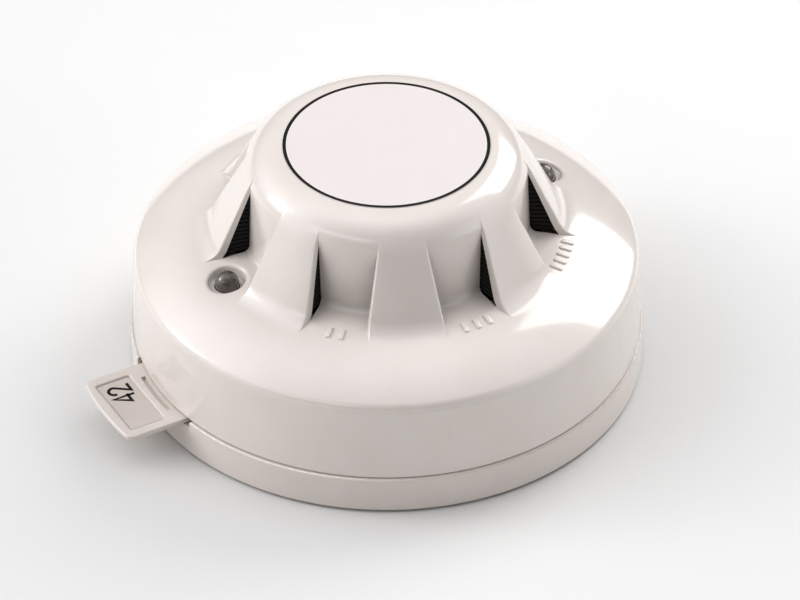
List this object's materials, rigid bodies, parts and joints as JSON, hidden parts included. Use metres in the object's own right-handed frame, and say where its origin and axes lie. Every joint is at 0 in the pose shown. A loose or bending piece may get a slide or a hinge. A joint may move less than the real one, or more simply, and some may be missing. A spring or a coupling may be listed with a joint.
{
  "type": "heat detector",
  "caption": "Round ceiling heat detector with hooded air inlets, indicator lamps, a slide-in address card and a twist-lock mounting base.",
  "frame": {"origin": "centre of the cable entry at the base's back face", "axes": "+Z out of the wall or ceiling along the detector's axis, towards its face; -X towards the address card's tab"},
  "size_m": [0.112, 0.1002, 0.05],
  "materials": {
    "cover_white": "glossy warm white moulding",
    "base_white": "glossy warm white moulding",
    "card_white": "satin warm white moulding",
    "label_paper": "matt printed label",
    "label_disc": "satin film with a thin black ring",
    "black_plastic": "matt black moulding",
    "chassis_white": "plain white moulding",
    "board_green": "green solder mask",
    "thermistor_glass": "glossy dark bead",
    "tinned_wire": "bright tinned wire",
    "ceramic_part": "tan ceramic body with tinned ends",
    "lamp_lens": "smoky translucent lens",
    "chip_black": "black epoxy pack",
    "crystal_can": "bright can",
    "capacitor_sleeve": "dark sleeve",
    "plated_brass": "plated brass",
    "zinc_steel": "zinc plated steel",
    "contact_steel": "bright spring steel"
  },
  "bodies": {
    "base": {"base_body": "base_white", "contact_spring_1": "contact_steel", "contact_spring_2": "contact_steel", "contact_spring_3": "contact_steel", "contact_spring_4": "contact_steel", "contact_spring_5": "contact_steel", "terminal_clamp_1": "zinc_steel", "terminal_clamp_2": "zinc_steel", "terminal_clamp_3": "zinc_steel", "terminal_clamp_4": "zinc_steel", "terminal_clamp_5": "zinc_steel", "terminal_screws": "zinc_steel"},
    "card": {"address_card": "card_white", "number_label": "label_paper"},
    "head": {"address_reader": "black_plastic", "air_guide": "black_plastic", "board_screws": "zinc_steel", "case_screws": "zinc_steel", "chassis": "chassis_white", "chip_components": "ceramic_part", "circuit_board": "board_green", "contact_plate_1": "contact_steel", "contact_plate_2": "contact_steel", "contact_plate_3": "contact_steel", "contact_plate_4": "contact_steel", "contact_plate_5": "contact_steel", "contact_rivets": "plated_brass", "indicator_lamp_1": "lamp_lens", "indicator_lamp_2": "lamp_lens", "label_disc": "label_disc", "lamp_leads": "tinned_wire", "lamp_spacers": "black_plastic", "microcontroller": "chip_black", "outer_cover": "cover_white", "quartz_crystal": "crystal_can", "reference_thermistor": "ceramic_part", "sensing_thermistor": "thermistor_glass", "smoothing_capacitor": "capacitor_sleeve", "surge_suppressor": "chip_black", "thermistor_leads": "tinned_wire", "thermistor_post": "black_plastic"}
  },
  "joints": [
    {"name": "head_twist", "type": "hinge", "parent": "base", "child": "head", "pos_m": [0, 0, 0], "axis": [0, 0, 1], "range_deg": [0, 15]},
    {"name": "address_card_slide", "type": "slide", "parent": "base", "child": "card", "axis": [-1, 0, 0], "range_m": [0, 0.014]}
  ]
}
